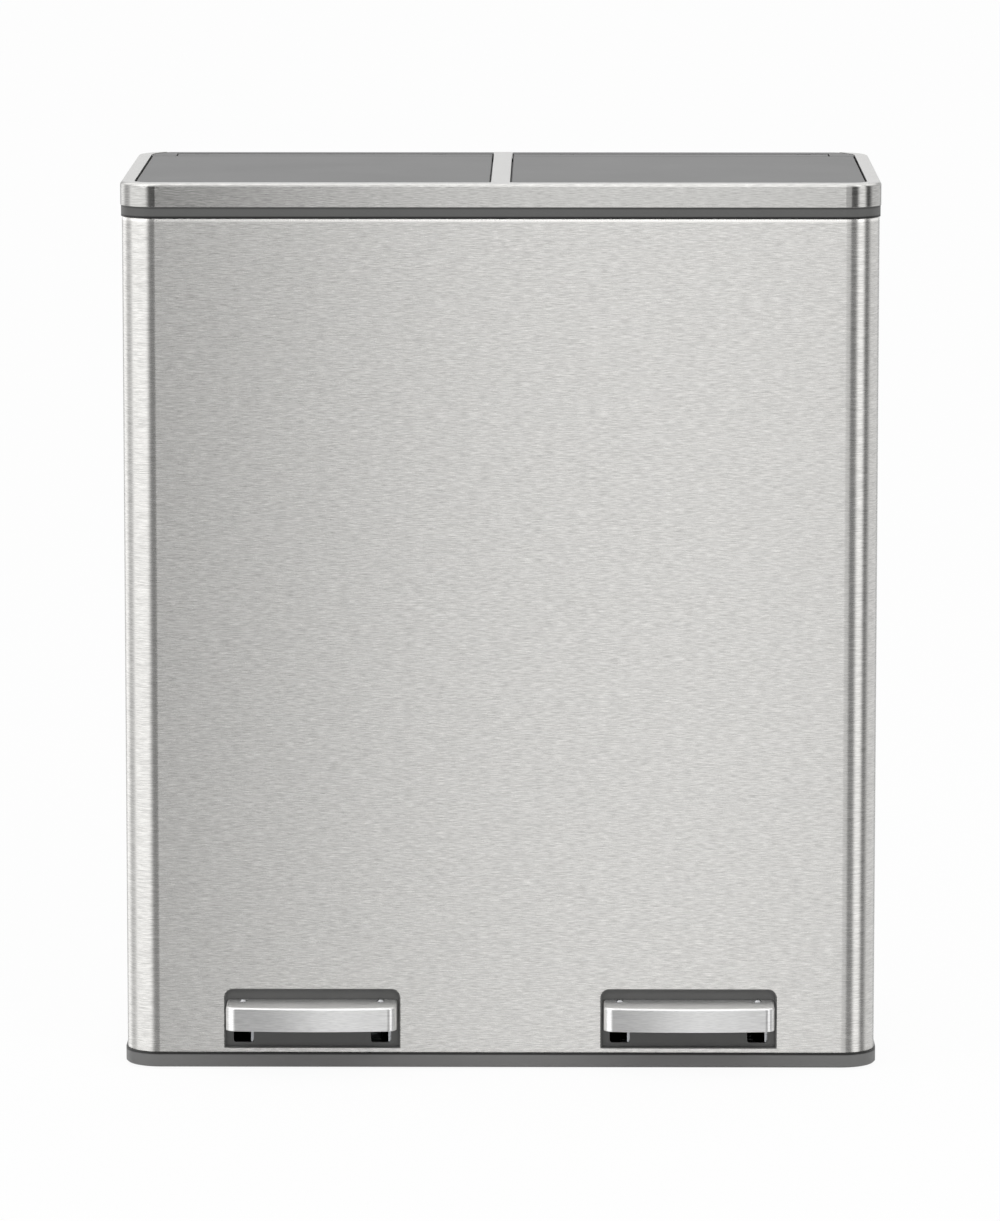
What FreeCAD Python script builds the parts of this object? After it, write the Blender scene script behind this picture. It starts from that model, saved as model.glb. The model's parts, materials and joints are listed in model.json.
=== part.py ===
import FreeCAD, Part

import math
import os

Vector = FreeCAD.Vector

# A floor-standing pedal bin with two buckets side by side, in millimetres.
# X runs to the right, Y to the back and Z up; the origin is on the floor, under the body's middle.

# ---- driving dimensions -------------------------------------------------------------------------
WIDTH = 585.0                 # over the base and the steel bezel
DEPTH = 300.0                 # the body, front face to back face, without the pedals
HEIGHT = 690.0                # floor to the top of the bezel
CORNER = 28.0                 # radius of the body's upright corners
UNIT_X = WIDTH / 4            # middle of each pedal, lever and pushrod

STEEL = 0.8                   # body and bezel sheet
FORMED = 1.5                  # pedal and lever sheet
PLASTIC = 2.5                 # moulded walls
RUN_GAP = 0.3                 # round and between pieces that slide past each other
PIN_GAP = 0.05                # round a hinge pin or an axle
SCREW_RADIUS = 1.8

# ---- heights of the stack -----------------------------------------------------------------------
TRAY_BOTTOM = 1.5             # the rubber feet lift the tray by this much
TRAY_FLOOR = 4.0
BOSS_TOP = 8.0
RIM_TOP = 12.9
LIP_TOP = 16.0
DECK_BOTTOM = 69.0
DECK_TOP = 72.0
SHELL_TOP = 663.4
COLLAR_TOP = 672.1

SHELL_INSET = 1.25            # the shell stands this far inside the base and the bezel
COLLAR_INSET = 0.6
SHELL_INSIDE = SHELL_INSET + STEEL
BACK_INSIDE = DEPTH / 2 - SHELL_INSIDE

# ---- pedal recess -------------------------------------------------------------------------------
RECESS_WIDTH = 137.0
RECESS_Z = (16.4, 63.3)
RECESS_RADIUS = 7.0
PLATE_FRONT = 4 - DEPTH / 2
PLATE_BACK = PLATE_FRONT + PLASTIC
SLOT_X = 53.4                 # each arm's slot, either side of the pedal's middle
SLOT_WIDTH = 15.7
SLOT_Z = (20.5, 54.0)
GUIDE_X = 6.4                 # the steel arm guide stands beside the middle of its slot

# ---- pedal and lever ----------------------------------------------------------------------------
PEDAL_TRAVEL = math.radians(10.5)
LEVER_REACH = 160.2           # pivot to the nose that lifts the pushrod
NOSE_RADIUS = 4.0
PIVOT_Z = 30.0
ROD_Y = 110.0
PIVOT_Y = ROD_Y - LEVER_REACH * math.cos(PEDAL_TRAVEL / 2)
NOSE_Z = PIVOT_Z - LEVER_REACH * math.sin(PEDAL_TRAVEL / 2)
PEDAL_WIDTH = 132.0
PEDAL_Y = (-184.0, -147.5)
PEDAL_Z = (36.1, 54.6)
PEDAL_BOW = 4.0
ARM_WIDTH = 10.0
ARM_DEPTH = 12.0
AXLE_RADIUS = 4.0
BUSH_RADIUS = 5.5
CHEEK_X = 40.0
RIVET_Y = -153.0
RIVET_RADIUS = 1.6
HUB_RADIUS = 8.5

# ---- lid and its hinge --------------------------------------------------------------------------
LID_X = (8.4, 280.2)          # distance of the lid's edges from the bin's middle
LID_Y = (-135.0, 135.0)
LID_TOP = 689.5
LID_THICK = 3.0
LID_BOTTOM = LID_TOP - LID_THICK
LID_GAP = 1.2
LID_CORNERS = (3.0, 12.0, 20.0)     # inner, front outer and back outer corners
LID_MIDDLE = sum(LID_X) / 2
GROOVE_Y = (112.0, 113.2)     # shadow line across the lid, in line with the hinge cover's front edge
GROOVE_DEPTH = 1.6
KNUCKLE_RADIUS = 4.4
HINGE_Y = 131.0
HINGE_Z = LID_TOP - KNUCKLE_RADIUS
HINGE_X = 95.0                # lugs, either side of the pushrod
LUG_WIDTH = 10.0
PIN_RADIUS = 2.0
LINER_BOTTOM = 675.0
LINER_Y = (-128.0, 98.0)
LEDGE_TOP = 684.5
KNUCKLE_END = LID_X[1] - LID_CORNERS[2]     # past it, the hinge cover fills the corner
COVER_CORNER = 45.0           # radius of the cover's outer back corner, which the back edge cuts off

# ---- heel cam and pushrod -----------------------------------------------------------------------
BASE_RADIUS = HINGE_Y - ROD_Y       # base circle of the heel's involute
LID_TRAVEL = math.radians(80)
HEEL_DROP = 29.0              # heel's lowest point below the hinge, lid closed
HEEL_THICK = 8.0
ROD_RADIUS = 3.0
TIP_RADIUS = 4.0
TIP_TOP = HINGE_Z - HEEL_DROP - RUN_GAP
ROD_TOP = TIP_TOP - 8
FOOT_BOTTOM = NOSE_Z + NOSE_RADIUS + RUN_GAP
FOOT_THICK = 3.0
BARREL_Z = (300.0, 400.0)
BARREL_BORE = 8.8
CAP_THICK = 4.0

# ---- rod channel --------------------------------------------------------------------------------
CHANNEL_HALF = 30.0
CHANNEL_FRONT = 96.0
CHANNEL_TOP = 640.0
CHANNEL_TAB_TOP = 660.0
SPIGOT_BOTTOM = 640.0
SPIGOT_INSET = SHELL_INSIDE + RUN_GAP
CHANNEL_BACK = DEPTH / 2 - SPIGOT_INSET - PLASTIC

# ---- bucket -------------------------------------------------------------------------------------
BUCKET_Y = -18.5
BUCKET_BASE = (232.0, 196.0)
BUCKET_MOUTH = (254.0, 214.0)
BUCKET_RIM = (262.0, 223.0)
BUCKET_TOP = 650.0
BUCKET_WALL = 2.0
BUCKET_CORNER = 26.0
BUCKET_BEVEL = 6.0

# ---- rear handle --------------------------------------------------------------------------------
CUP_HALF = 54.0
CUP_Z = (590.0, 628.0)
CUP_RADIUS = 8.0
CUP_WALL = 2.0
CUP_FRONT = 126.0
FLANGE_MARGIN = 5.5           # the handle's flange stands past its cup by this much

POSTS = [(x, y) for x in (-265, 0, 265) for y in (-120, 120)]
RIB_X = (-220, -75, 0, 75, 220)
SIDES = {"left": -1, "right": 1}


# ---- forms --------------------------------------------------------------------------------------
def about(middle, half):
    """Span of values either side of a middle."""
    return (middle - half, middle + half)


def grown(span, margin):
    """Span made longer at both ends."""
    return (span[0] - margin, span[1] + margin)


def across(side, near, far):
    """Span in X from two distances measured from the bin's middle, on the left or the right."""
    return tuple(sorted((side * near, side * far)))


def slab(x, y, z):
    """Plain block between two values on each axis."""
    return Part.makeBox(x[1] - x[0], y[1] - y[0], z[1] - z[0], Vector(x[0], y[0], z[0]))


def post(x, y, radius, z):
    """Upright round bar."""
    return Part.makeCylinder(radius, z[1] - z[0], Vector(x, y, z[0]))


def bar(x, y, z, radius):
    """Round bar along X, between the two X values."""
    return Part.makeCylinder(radius, x[1] - x[0], Vector(x[0], y, z), Vector(1, 0, 0))


def outline(x, y, radii, z=0.0):
    """Rectangle with round corners, from front left anticlockwise, as a face at a height."""
    if not isinstance(radii, tuple):
        radii = (radii,) * 4
    corners = [(x[0], y[0], 1, 1), (x[1], y[0], -1, 1), (x[1], y[1], -1, -1), (x[0], y[1], 1, -1)]
    arcs = []
    for turn, (corner_x, corner_y, inward_x, inward_y) in enumerate(corners):
        radius = radii[turn]
        middle = Vector(corner_x + inward_x * radius, corner_y + inward_y * radius, z)
        angles = [math.radians(180 + 90 * turn + step) for step in (0, 45, 90)]
        points = [middle + Vector(math.cos(a), math.sin(a), 0) * radius for a in angles]
        arcs.append(Part.Arc(*points).toShape())
    edges = []
    for arc, following in zip(arcs, arcs[1:] + arcs[:1]):
        edges.append(arc)
        edges.append(Part.makeLine(arc.lastVertex().Point, following.firstVertex().Point))
    return Part.Face(Part.Wire(edges))


def prism(x, y, radii, z):
    """Round-cornered plan raised between two heights."""
    return outline(x, y, radii, z[0]).extrude(Vector(0, 0, z[1] - z[0]))


def upright(x, z, radii, y):
    """Round-cornered shape seen from the front, between two Y values."""
    solid = prism(x, z, radii, (-y[1], -y[0]))
    solid.rotate(Vector(0, 0, 0), Vector(1, 0, 0), 90)
    return solid


def sideways(y, z, radii, x):
    """Round-cornered shape seen from the side, between two X values."""
    solid = prism(y, z, radii, x)
    solid.rotate(Vector(0, 0, 0), Vector(1, 1, 1), 120)
    return solid


def side_plate(points, x):
    """Straight-edged shape seen from the side, given as (Y, Z) points, between two X values."""
    corners = [Vector(x[0], y, z) for y, z in points + points[:1]]
    return Part.Face(Part.makePolygon(corners)).extrude(Vector(x[1] - x[0], 0, 0))


def body_prism(inset, z):
    """The body's plan, drawn in all round, raised between two heights."""
    return prism(about(0, WIDTH / 2 - inset), about(0, DEPTH / 2 - inset), CORNER - inset, z)


def body_ring(inset, wall, z):
    """Wall that follows the body's plan."""
    return body_prism(inset, z).cut(body_prism(inset + wall, z))


def joined(*solids):
    """One solid from several that meet."""
    return solids[0].multiFuse(list(solids[1:])).removeSplitter()


def edges_where(solid, test):
    """Edges whose centre point passes a test."""
    return [edge for edge in solid.Edges if test(edge.CenterOfMass)]


def screw(length):
    """Hexagon-headed screw at the origin, driven downwards, its head standing on z = 0."""
    turns = [math.radians(60 * corner) for corner in range(7)]
    corners = [Vector(4 * math.cos(turn), 4 * math.sin(turn), 0) for turn in turns]
    head = Part.Face(Part.makePolygon(corners)).extrude(Vector(0, 0, 2.4))
    return joined(head, post(0, 0, SCREW_RADIUS, (-length, 0)))


def screws_at(places, length, turn=0):
    """Group of equal screws, turned about X from pointing down, their heads seated at the places."""
    group = []
    for place in places:
        one = screw(length)
        one.rotate(Vector(0, 0, 0), Vector(1, 0, 0), turn)
        one.translate(Vector(*place))
        group.append(one)
    return Part.makeCompound(group)


def lid_plan(side, margin):
    """Spans and corner radii of one lid's outline, grown by a margin."""
    inner, front, back = [max(radius + margin, 0.5) for radius in LID_CORNERS]
    radii = (inner, front, back, inner)
    if side < 0:
        radii = (front, inner, inner, back)
    return grown(across(side, *LID_X), margin), grown(LID_Y, margin), radii


def lid_opening(side, z):
    """The hole that a lid closes, with the gap round the lid."""
    x, y, radii = lid_plan(side, LID_GAP)
    return prism(x, y, radii, z)


# ---- base and body ------------------------------------------------------------------------------
def foot_places():
    """Middle and four corners of the underside."""
    return [(0, 0)] + [(x, y) for x in (-235, 235) for y in (-110, 110)]


def rubber_feet():
    feet = [post(x, y, 15, (0, TRAY_BOTTOM + 1)) for x, y in foot_places()]
    return Part.makeCompound(feet)


def lip_webs():
    """Sloping webs that brace the back of the tray's lip above its ribs."""
    back = DEPTH / 2 - 4
    front = back - 14
    points = [(back, LIP_TOP), (back, BOSS_TOP - 1), (front, BOSS_TOP - 1), (front, BOSS_TOP + 1)]
    return [side_plate(points, about(x, 1)) for x in RIB_X]


def base_tray():
    """Moulded tray with a deep rim, a lip inside the shell, ribs, post bosses and bracket pads."""
    rim = body_ring(0, 5, (TRAY_BOTTOM, RIM_TOP))
    rim = rim.makeChamfer(1.2, edges_where(rim, lambda p: p.z < TRAY_BOTTOM + 0.1 and outside(p)))
    pieces = [rim, body_prism(4, (TRAY_BOTTOM, TRAY_FLOOR))]
    pieces.append(body_ring(SPIGOT_INSET, PLASTIC, (RIM_TOP - 1, LIP_TOP)))
    pieces += lip_webs()
    for x in RIB_X:
        pieces.append(slab(about(x, 1), about(0, DEPTH / 2 - 4.5), (TRAY_FLOOR - 1, BOSS_TOP)))
    for y in (-90, 0, 90):
        pieces.append(slab(about(0, WIDTH / 2 - 4.5), about(y, 1), (TRAY_FLOOR - 1, BOSS_TOP)))
    for x, y in POSTS:
        pieces.append(post(x, y, 9, (TRAY_FLOOR - 1, BOSS_TOP)))
    for x in cheek_places():
        pieces.append(slab(about(x, 12), about(PIVOT_Y, 23), (TRAY_FLOOR - 1, BOSS_TOP)))
    tray = joined(*pieces)
    holes = [post(x, y, 15, (0, TRAY_BOTTOM + 1)) for x, y in foot_places()]
    for x, y in POSTS:
        holes.append(post(x, y, 4.4, (0, BOSS_TOP - PLASTIC)))
        holes.append(post(x, y, SCREW_RADIUS, (0, BOSS_TOP + 1)))
    for x, y in bracket_screw_places():
        holes.append(post(x, y, SCREW_RADIUS, (TRAY_FLOOR, BOSS_TOP + 1)))
    return tray.cut(holes)


def outside(point):
    """True for an edge's centre on the outer face of the base rather than on its inner wall."""
    beyond_x = abs(point.x) - (WIDTH / 2 - CORNER)
    beyond_y = abs(point.y) - (DEPTH / 2 - CORNER)
    return math.hypot(max(beyond_x, 0), max(beyond_y, 0)) > CORNER - 4


def deck_screws():
    """Screws up through the tray into the deck's posts."""
    return screws_at([(x, y, BOSS_TOP - PLASTIC) for x, y in POSTS], 16, 180)


def recess_outline(middle, margin, y):
    """The hole for a pedal: square at the bottom, round at the top corners."""
    top = RECESS_RADIUS - margin
    x = about(middle, RECESS_WIDTH / 2 - margin)
    return upright(x, grown(RECESS_Z, -margin), (0.5, 0.5, top, top), y)


def outer_shell():
    """Steel wrapper: a rolled rectangle with holes for the pedals and the rear handle."""
    shell = body_ring(SHELL_INSET, STEEL, (RIM_TOP, SHELL_TOP))
    holes = [recess_outline(side * UNIT_X, 0, (-DEPTH / 2, -DEPTH / 2 + 10)) for side in SIDES.values()]
    holes.append(handle_cup(RUN_GAP, (BACK_INSIDE - 5, DEPTH / 2 + 5)))
    return shell.cut(holes)


def handle_cup(margin, y):
    """Outside of the finger cup in the back."""
    return upright(grown(about(0, CUP_HALF), margin), grown(CUP_Z, margin), CUP_RADIUS + margin, y)


def rear_handle():
    """Finger cup with a flange on the back of the shell."""
    flange = handle_cup(FLANGE_MARGIN, (DEPTH / 2 - SHELL_INSET, DEPTH / 2))
    cup = handle_cup(0, (CUP_FRONT, DEPTH / 2))
    hollow = handle_cup(-CUP_WALL, (CUP_FRONT + CUP_WALL, DEPTH / 2 + 1))
    return joined(flange, cup).cut(hollow)


def bucket_outline(size, height, margin=0.0):
    """Round-cornered plan of a bucket at a height, for a bucket on the bin's middle line."""
    x = about(0, size[0] / 2 + margin)
    y = about(BUCKET_Y, size[1] / 2 + margin)
    return outline(x, y, BUCKET_CORNER + margin, height)


def bucket_ring(size, margins, z):
    """Wall that follows a bucket's plan between two margins and two heights."""
    plan = bucket_outline(size, z[0], margins[1]).cut(bucket_outline(size, z[0], margins[0]))
    return plan.extrude(Vector(0, 0, z[1] - z[0]))


def bucket_deck():
    """Moulded floor above the levers: skirt, ribs, hollow posts and a curb round each bucket."""
    x = about(0, WIDTH / 2 - SPIGOT_INSET)
    y = (PLATE_BACK + RUN_GAP, DEPTH / 2 - SPIGOT_INSET)
    radius = CORNER - SPIGOT_INSET
    floor = prism(x, y, radius, (DECK_BOTTOM, DECK_TOP))
    skirt_z = (DECK_BOTTOM - 11, DECK_BOTTOM + 1)
    skirt = prism(x, y, radius, skirt_z)
    skirt = skirt.cut(prism(grown(x, -PLASTIC), grown(y, -PLASTIC), radius - PLASTIC, skirt_z))
    pieces = [floor, skirt]
    for rib_x in RIB_X:
        pieces.append(slab(about(rib_x, 1), grown(y, -2), skirt_z))
    pieces.append(slab(grown(x, -2), about(0, 1), skirt_z))
    for post_x, post_y in POSTS:
        pieces.append(post(post_x, post_y, 8, (BOSS_TOP, DECK_TOP - 1)))
    for side in SIDES.values():
        curb = bucket_ring(BUCKET_BASE, (1.5, 3.5), (DECK_TOP - 1, DECK_TOP + 4))
        curb.translate(Vector(side * LID_MIDDLE, 0, 0))
        pieces.append(curb)
    holes = [post(side * UNIT_X, ROD_Y, 5, (DECK_BOTTOM - 20, DECK_TOP + 1)) for side in SIDES.values()]
    holes += [post(post_x, post_y, SCREW_RADIUS, (BOSS_TOP - 1, BOSS_TOP + 30)) for post_x, post_y in POSTS]
    return joined(*pieces).cut(holes)


def collar_ring():
    """Moulded collar: spigot in the shell, dark band, hollow frame under the bezel, lid ledges."""
    frame_top = HEIGHT - STEEL - 0.1
    under = (SHELL_TOP - 1, frame_top - PLASTIC)
    band = body_prism(COLLAR_INSET, (SHELL_TOP, COLLAR_TOP))
    frame = body_prism(STEEL + 0.2, (COLLAR_TOP - 1, frame_top))
    frame = frame.makeChamfer(2.2, edges_where(frame, lambda p: p.z > frame_top - 0.01)).fuse(band)
    hollow = body_prism(STEEL + 0.2 + PLASTIC, under)
    holes = []
    extras = [body_ring(SPIGOT_INSET, PLASTIC, (SPIGOT_BOTTOM, SHELL_TOP + 2))]
    for side in SIDES.values():
        x, y, radii = lid_plan(side, LID_GAP + PLASTIC)
        hollow = hollow.cut(prism(x, y, radii, under))
        holes.append(lid_opening(side, (SHELL_TOP - 2, HEIGHT)))
        holes.append(cover_space(side, LID_GAP, (LEDGE_TOP, HEIGHT)))
        extras.append(lid_ledge(side))
    pilots = [tab_hole(x) for side in SIDES.values() for x in tab_places(side * UNIT_X)]
    return joined(frame.cut(hollow).cut(holes), *extras).cut(pilots)


def lid_ledge(side):
    """Shelf round the front and sides of a lid's opening, with a pad for each bumper."""
    z = (LEDGE_TOP - PLASTIC, LEDGE_TOP)
    x, y, radii = lid_plan(side, LID_GAP + 1)
    inner_x, inner_y, inner_radii = lid_plan(side, LID_GAP - 4)
    ledge = prism(x, y, radii, z).cut(prism(inner_x, inner_y, inner_radii, z))
    pads = [slab(about(pad_x, 4), about(pad_y, 4), z) for pad_x, pad_y in bumper_places(side)]
    return joined(ledge, *pads).cut(slab(about(0, WIDTH), (116, DEPTH), z))


def bumper_places(side):
    """Front corners of a lid's opening."""
    return [(side * x, LID_Y[0] + 6) for x in (LID_X[0] + 6, LID_X[1] - 6)]


def lid_bumpers():
    """Soft stops that the closed lids rest on."""
    bumpers = []
    for side in SIDES.values():
        for x, y in bumper_places(side):
            bumpers.append(post(x, y, 3, (LEDGE_TOP, LID_BOTTOM)))
    return Part.makeCompound(bumpers)


def lid_bezel():
    """Pressed steel frame round both lids, with a rounded top edge and a bar between the lids."""
    round_over = 2.8
    outer = body_prism(0, (COLLAR_TOP, HEIGHT))
    outer = outer.makeFillet(round_over, edges_where(outer, lambda p: p.z > HEIGHT - 0.01))
    inner = body_prism(STEEL, (COLLAR_TOP - 1, HEIGHT - STEEL))
    inner_top = edges_where(inner, lambda p: p.z > HEIGHT - STEEL - 0.01)
    inner = inner.makeChamfer(round_over - STEEL, inner_top)
    holes = [lid_opening(side, (COLLAR_TOP, HEIGHT + 1)) for side in SIDES.values()]
    holes += [cover_space(side, LID_GAP, (LEDGE_TOP, HEIGHT + 1)) for side in SIDES.values()]
    return outer.cut(inner).cut(holes)


def cover_space(side, margin, z):
    """Space behind a lid, whose outer corner is a large arc that the bin's back edge cuts off."""
    front, back = LID_CORNERS[0] + margin, COVER_CORNER + margin
    radii = (front, front, back, front) if side > 0 else (front, front, front, back)
    x = grown(across(side, *LID_X), margin)
    space = prism(x, (0, DEPTH / 2 + CORNER / 2), radii, z)
    return space.cut(slab(about(0, WIDTH), (-DEPTH, GROOVE_Y[1]), z))


def hinge_cover(side):
    """Moulded strip that closes the gap from the lid's hinge to the back edge, flush with the lid."""
    z = (LEDGE_TOP, LID_TOP)
    strip = cover_space(side, LID_GAP - RUN_GAP, z).common(body_prism(0.2, z))
    swing = slab(across(side, 0, KNUCKLE_END + LID_GAP), (0, LID_Y[1] + LID_GAP), z)
    pocket_x = across(side, LID_X[0] + 3, KNUCKLE_END)
    pocket = slab(pocket_x, (LID_Y[1] + 4, DEPTH / 2 - 3), (LEDGE_TOP, LEDGE_TOP + PLASTIC))
    return strip.cut([swing, pocket])


# ---- pedal recess and lever bearings ------------------------------------------------------------
def pedal_surround(middle):
    """Plate behind the pedal, with a lip in the shell's hole and a slot for each arm."""
    plate = slab(about(middle, 74), (PLATE_FRONT, PLATE_BACK), (LIP_TOP + 0.1, 67))
    lip_y = (0.2 - DEPTH / 2 + SHELL_INSET, PLATE_FRONT + 1)
    lip = recess_outline(middle, 0.1, lip_y).cut(recess_outline(middle, 1.0, lip_y))
    slots = []
    for x in slot_places(middle):
        slots.append(upright(about(x, SLOT_WIDTH / 2), SLOT_Z, 2, (PLATE_FRONT - 1, PLATE_BACK + 1)))
    return joined(plate, lip).cut(slots)


def slot_places(middle):
    """Middles of the two arm slots."""
    return (middle - SLOT_X, middle + SLOT_X)


def arm_guides(middle):
    """Steel angle beside each arm: a blade in the slot and a flange on the back of the plate."""
    guides = []
    z = (SLOT_Z[0] - 2, SLOT_Z[1] + 1)
    for x in slot_places(middle):
        start = x + GUIDE_X - 0.6
        blade = slab((start, start + 1.2), (PLATE_FRONT - 0.2, PLATE_BACK + 26), grown(SLOT_Z, -0.6))
        flange = slab((start, start + 10), (PLATE_BACK, PLATE_BACK + 1.2), z)
        guides.append(joined(blade, flange))
    return Part.makeCompound(guides)


def cheek_places():
    """X of every bracket cheek under the deck."""
    return [side * UNIT_X + offset for side in SIDES.values() for offset in (-CHEEK_X, CHEEK_X)]


def bracket_screw_places():
    """Middle of the foot of every cheek."""
    return [(x + 6, PIVOT_Y) for x in cheek_places()]


def lever_brackets(middle):
    """Two pressed cheeks that carry the axle, each with a foot on the tray."""
    brackets = []
    for x in (middle - CHEEK_X, middle + CHEEK_X):
        cheek_x = (x - 1, x + 1)
        foot_z = (BOSS_TOP, BOSS_TOP + 2)
        foot = slab((x - 1, x + 11), about(PIVOT_Y, 20), foot_z)
        web = [(PIVOT_Y - 20, foot_z[0]), (PIVOT_Y + 20, foot_z[0]), (PIVOT_Y + 20, foot_z[1]),
               (PIVOT_Y + 8, PIVOT_Z), (PIVOT_Y - 8, PIVOT_Z), (PIVOT_Y - 20, foot_z[1])]
        cheek = joined(foot, side_plate(web, cheek_x), bar(cheek_x, PIVOT_Y, PIVOT_Z, 9))
        holes = [bar(grown(cheek_x, 1), PIVOT_Y, PIVOT_Z, AXLE_RADIUS)]
        holes.append(post(x + 6, PIVOT_Y, SCREW_RADIUS, grown(foot_z, 1)))
        brackets.append(cheek.cut(holes))
    return Part.makeCompound(brackets)


def bracket_screws():
    return screws_at([(x, y, BOSS_TOP + 2) for x, y in bracket_screw_places()], 5)


def lever_axle(middle):
    """Steel axle held by both cheeks."""
    return bar(about(middle, 64), PIVOT_Y, PIVOT_Z, AXLE_RADIUS)


def axle_clips():
    """Clip near each end of both axles, outside the lever's bushes."""
    clips = []
    for side in SIDES.values():
        for x in (side * UNIT_X - 61, side * UNIT_X + 60):
            ring = bar((x, x + 1), PIVOT_Y, PIVOT_Z, 7.5)
            clips.append(ring.cut(bar((x - 1, x + 2), PIVOT_Y, PIVOT_Z, AXLE_RADIUS)))
    return Part.makeCompound(clips)


# ---- pedal --------------------------------------------------------------------------------------
def pedal_form(inset, z):
    """The pedal's bowed plan, drawn in all round, between two heights."""
    half = PEDAL_WIDTH / 2 - inset
    front = PEDAL_Y[0] + inset
    bow_radius = (half ** 2 + PEDAL_BOW ** 2) / (2 * PEDAL_BOW)
    block = slab((-half, half), (front, PEDAL_Y[1]), z)
    form = block.common(post(0, front + bow_radius, bow_radius, z))
    corners = edges_where(form, lambda p: p.y < front + 10 and abs(p.x) > half - 0.01)
    corners = [edge for edge in corners if edge.Length < z[1] - z[0] + 0.01 and edge.BoundBox.ZLength > 1]
    return form.makeFillet(8 - inset, corners)


def pedal_pad(middle):
    """Formed steel cap over the ends of the arms, open below and behind."""
    cap = pedal_form(0, PEDAL_Z)
    rounded = edges_where(cap, lambda p: p.z > PEDAL_Z[1] - 0.01 and p.y < PEDAL_Y[1] - 0.1)
    cap = cap.makeFillet(2.2, rounded)
    hollow = pedal_form(FORMED, (PEDAL_Z[0] - 1, PEDAL_Z[1] - FORMED))
    rear = slab(about(0, PEDAL_WIDTH / 2 - FORMED), (PEDAL_Y[1] - 2, PEDAL_Y[1] + 1),
                (PEDAL_Z[0] - 1, PEDAL_Z[1] - FORMED))
    holes = [post(x, RIVET_Y, RIVET_RADIUS, grown(PEDAL_Z, 1)) for x in slot_places(0)]
    cap = cap.cut([hollow, rear] + holes)
    cap.translate(Vector(middle, 0, 0))
    return cap


def pedal_rivets(middle):
    """Rivets that hold the cap to the arms."""
    rivets = []
    for x in slot_places(middle):
        head = Part.makeCone(2 * RIVET_RADIUS, RIVET_RADIUS, 1.2, Vector(x, RIVET_Y, PEDAL_Z[1]))
        shank = post(x, RIVET_Y, RIVET_RADIUS, (PEDAL_Z[1] - 2 * FORMED, PEDAL_Z[1]))
        rivets.append(joined(head, shank))
    return Part.makeCompound(rivets)


def lever_arm(x):
    """One arm: a channel open below, bent down from the pedal to the axle and on to the back."""
    top = [(PEDAL_Y[0] + 6, PEDAL_Z[1] - FORMED), (-125, PEDAL_Z[1] - FORMED), (-62, 37), (52, 27)]
    under = [(y, z - ARM_DEPTH) for y, z in reversed(top)]
    outer = side_plate(top + under, about(x, ARM_WIDTH / 2))
    inner = side_plate(top + under, about(x, ARM_WIDTH / 2 - FORMED))
    inner.translate(Vector(0, 0, -FORMED))
    holes = [inner, post(x, RIVET_Y, RIVET_RADIUS, (PEDAL_Z[0], PEDAL_Z[1] + 1))]
    return joined(outer.cut(holes), bar(about(x, ARM_WIDTH / 2), PIVOT_Y, PIVOT_Z, HUB_RADIUS))


def pedal_lever(middle):
    """Welded lever: two arms, a cross channel behind the axle and a tongue to the pushrod."""
    arms = [lever_arm(x) for x in slot_places(middle)]
    cross = slab(about(middle, SLOT_X + ARM_WIDTH / 2), (40, 52), (16, 27.5))
    cross = cross.cut(slab(about(middle, SLOT_X - ARM_WIDTH / 2), (41.5, 50.5), (15, 26)))
    tongue_side = [(45, 17), (ROD_Y, NOSE_Z - NOSE_RADIUS), (ROD_Y, NOSE_Z + 1),
                   (ROD_Y - 14, NOSE_Z + 3), (45, 27.5)]
    tongue = side_plate(tongue_side, about(middle, 7))
    nose = bar(about(middle, 7), ROD_Y, NOSE_Z, NOSE_RADIUS)
    lever = joined(cross, tongue, nose, *arms)
    return lever.cut(bar(about(middle, SLOT_X + ARM_WIDTH), PIVOT_Y, PIVOT_Z, BUSH_RADIUS))


def lever_bushes(middle):
    """Bush through each arm's hub, running on the axle."""
    bushes = []
    for x in slot_places(middle):
        sleeve = bar(about(x, ARM_WIDTH / 2 + 1), PIVOT_Y, PIVOT_Z, BUSH_RADIUS)
        bore = bar(about(x, ARM_WIDTH), PIVOT_Y, PIVOT_Z, AXLE_RADIUS + PIN_GAP)
        bushes.append(sleeve.cut(bore))
    return Part.makeCompound(bushes)


# ---- pushrod and its channel --------------------------------------------------------------------
def rod_channel(middle):
    """Moulded channel that keeps the bucket off the pushrod, with screw tabs on the collar."""
    z = (DECK_TOP, CHANNEL_TOP)
    outer = slab(about(middle, CHANNEL_HALF), (CHANNEL_FRONT, CHANNEL_BACK), z)
    hollow = slab(about(middle, CHANNEL_HALF - PLASTIC), (CHANNEL_FRONT + PLASTIC, DEPTH), z)
    flange_y = (CHANNEL_BACK - PLASTIC, CHANNEL_BACK)
    flanges = slab(about(middle, CHANNEL_HALF + 12), flange_y, z)
    tabs = [slab(about(x, 8), flange_y, (CHANNEL_TOP - 20, CHANNEL_TAB_TOP)) for x in tab_places(middle)]
    holes = [tab_hole(x) for x in tab_places(middle)]
    return joined(outer.cut(hollow), flanges.cut(hollow), *tabs).cut(holes)


def tab_places(middle):
    """Middles of a channel's two screw tabs."""
    return (middle - CHANNEL_HALF - 4, middle + CHANNEL_HALF + 4)


def tab_hole(x):
    """Bore through a tab and the spigot behind it."""
    start = Vector(x, CHANNEL_BACK - 5, CHANNEL_TAB_TOP - 8)
    return Part.makeCylinder(SCREW_RADIUS, 10, start, Vector(0, 1, 0))


def channel_screws():
    """Screws through the tabs into the collar's spigot."""
    places = [(x, CHANNEL_BACK - PLASTIC, CHANNEL_TAB_TOP - 8)
              for side in SIDES.values() for x in tab_places(side * UNIT_X)]
    return screws_at(places, 4.5, 90)


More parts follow.
